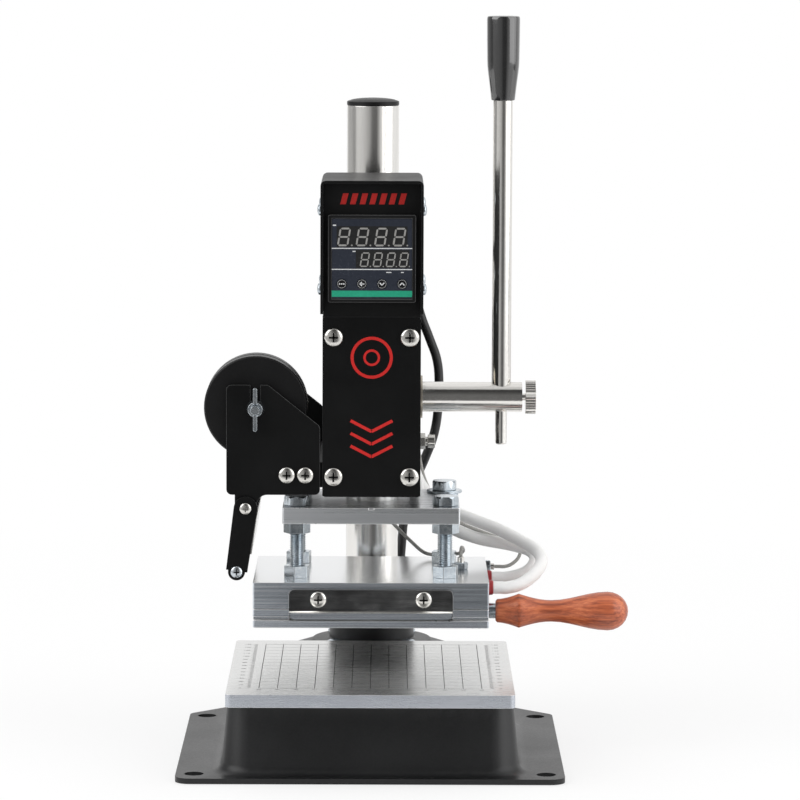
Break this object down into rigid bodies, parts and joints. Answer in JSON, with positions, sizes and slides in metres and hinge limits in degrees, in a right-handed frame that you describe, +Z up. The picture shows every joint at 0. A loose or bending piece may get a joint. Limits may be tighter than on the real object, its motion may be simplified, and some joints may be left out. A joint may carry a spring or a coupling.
{
  "type": "hot foil stamping press",
  "caption": "Bench-top hot foil stamping press: a lever-driven rack lowers a heated plate onto a ruled table, with a control box, a foil feeder and a sliding die plate.",
  "frame": {"origin": "on the floor, at the centre of the rectangle of four base mounting holes", "axes": "+X to the operator's right, towards the lever; +Y from the operator to the column; +Z up"},
  "size_m": [0.2483, 0.3601, 0.4084],
  "materials": {
    "black_paint": "fine textured black powder coat",
    "aluminium": "satin, with fine extrusion lines",
    "plated_steel": "bright nickel plating",
    "stainless": "plain stainless",
    "zinc_steel": "bluish zinc plating",
    "bronze": "sintered bronze",
    "black_plastic": "matte moulded plastic",
    "glossy_face": "glossy dark window and keys",
    "glossy_grip": "polished moulded grip",
    "red_wood": "varnished, lengthwise grain",
    "red_seal": "red heat-proof sealing compound",
    "white_sleeve": "white braided heat sleeve",
    "braided_lead": "thin metal-braided probe lead",
    "cord_rubber": "smooth black cord"
  },
  "bodies": {
    "frame": {"base_plate": "black_paint", "column_flange": "black_paint", "base_screws": "zinc_steel", "column": "plated_steel", "column_cap": "black_plastic", "work_table": "aluminium", "head_housing": "black_paint", "clamp_screws": "zinc_steel", "front_cover": "black_paint", "cover_screws": "stainless", "bronze_bushes": "bronze", "ram_lock_screw": "stainless", "spring_pin": "zinc_steel", "return_spring": "zinc_steel", "control_chassis": "black_paint", "control_cover": "black_paint", "control_cover_screws": "stainless", "controller_case": "black_plastic", "controller_face": "glossy_face", "switch_frame": "black_plastic", "cord_gland": "black_plastic", "foil_bracket": "black_paint", "foil_plate_front": "black_paint", "foil_plate_rear": "black_paint", "foil_screws": "stainless", "thermocouples": "braided_lead", "heater_leads": "white_sleeve", "power_cord": "cord_rubber", "cord_coil": "cord_rubber", "cord_plug": "cord_rubber"},
    "lever": {"pinion_shaft": "plated_steel", "pinion_gear": "zinc_steel", "lever_rod": "plated_steel", "lever_grip": "glossy_grip"},
    "thumbscrew": {"lever_thumbscrew": "plated_steel"},
    "press": {"ram": "stainless", "upper_plate": "aluminium", "press_bolts": "zinc_steel", "levelling_nuts": "zinc_steel", "heat_block": "aluminium", "cartridge_heaters": "stainless", "heater_seals": "red_seal", "guide_clips": "stainless", "clip_screws": "stainless"},
    "die": {"die_plate": "aluminium", "handle_stud": "plated_steel", "wood_handle": "red_wood"},
    "set_key": {"key_set": "glossy_face"},
    "shift_key": {"key_shift": "glossy_face"},
    "down_key": {"key_down": "glossy_face"},
    "up_key": {"key_up": "glossy_face"},
    "rocker": {"switch_rocker": "black_plastic"},
    "spool": {"foil_spindle": "plated_steel", "foil_disc_front": "black_plastic", "spindle_wing_nut": "plated_steel"},
    "rear_disc": {"foil_disc_rear": "black_plastic"},
    "foil_guide": {"foil_arms": "black_paint", "guide_strip": "plated_steel", "roller_axle": "stainless"},
    "roller": {"guide_roller": "stainless"}
  },
  "joints": [
    {"name": "lever_turn", "type": "hinge", "parent": "frame", "child": "lever", "pos_m": [0, 0.045, 0.1936], "axis": [1, 0, 0], "range_deg": [0, 80]},
    {"name": "ram_slide", "type": "slide", "parent": "frame", "child": "press", "axis": [0, 0, -1], "range_m": [0, 0.01955], "stiffness_N_per_m": 600, "springref_m": -0.05, "deforming": ["return_spring", "heater_leads", "thermocouples"]},
    {"name": "thumb_turn", "type": "hinge", "parent": "lever", "child": "thumbscrew", "pos_m": [0.0847, 0.045, 0.1936], "axis": [1, 0, 0], "continuous": true},
    {"name": "die_slide", "type": "slide", "parent": "press", "child": "die", "axis": [1, 0, 0], "range_m": [0, 0.09]},
    {"name": "key_set_press", "type": "slide", "parent": "frame", "child": "set_key", "axis": [0, 1, 0], "range_m": [0, 0.0005], "stiffness_N_per_m": 800, "springref_m": -0.0006},
    {"name": "key_shift_press", "type": "slide", "parent": "frame", "child": "shift_key", "axis": [0, 1, 0], "range_m": [0, 0.0005], "stiffness_N_per_m": 800, "springref_m": -0.0006},
    {"name": "key_down_press", "type": "slide", "parent": "frame", "child": "down_key", "axis": [0, 1, 0], "range_m": [0, 0.0005], "stiffness_N_per_m": 800, "springref_m": -0.0006},
    {"name": "key_up_press", "type": "slide", "parent": "frame", "child": "up_key", "axis": [0, 1, 0], "range_m": [0, 0.0005], "stiffness_N_per_m": 800, "springref_m": -0.0006},
    {"name": "switch_rock", "type": "hinge", "parent": "frame", "child": "rocker", "pos_m": [-0.012, 0.05, 0.2867], "axis": [1, 0, 0], "range_deg": [-16, 0]},
    {"name": "spool_turn", "type": "hinge", "parent": "frame", "child": "spool", "pos_m": [-0.0638, 0.03, 0.194], "axis": [0, 1, 0], "continuous": true},
    {"name": "disc_slide", "type": "slide", "parent": "spool", "child": "rear_disc", "axis": [0, 1, 0], "range_m": [0, 0.058]},
    {"name": "guide_swing", "type": "hinge", "parent": "frame", "child": "foil_guide", "pos_m": [-0.0692, 0.03, 0.1389], "axis": [0, 1, 0], "range_deg": [-4, 45]},
    {"name": "roller_spin", "type": "hinge", "parent": "foil_guide", "child": "roller", "pos_m": [-0.07415, 0.03, 0.10365], "axis": [0, 1, 0], "continuous": true}
  ],
  "couplings": [
    {"joint": "ram_slide", "follows": "lever_turn", "m_per_rad": 0.014}
  ]
}
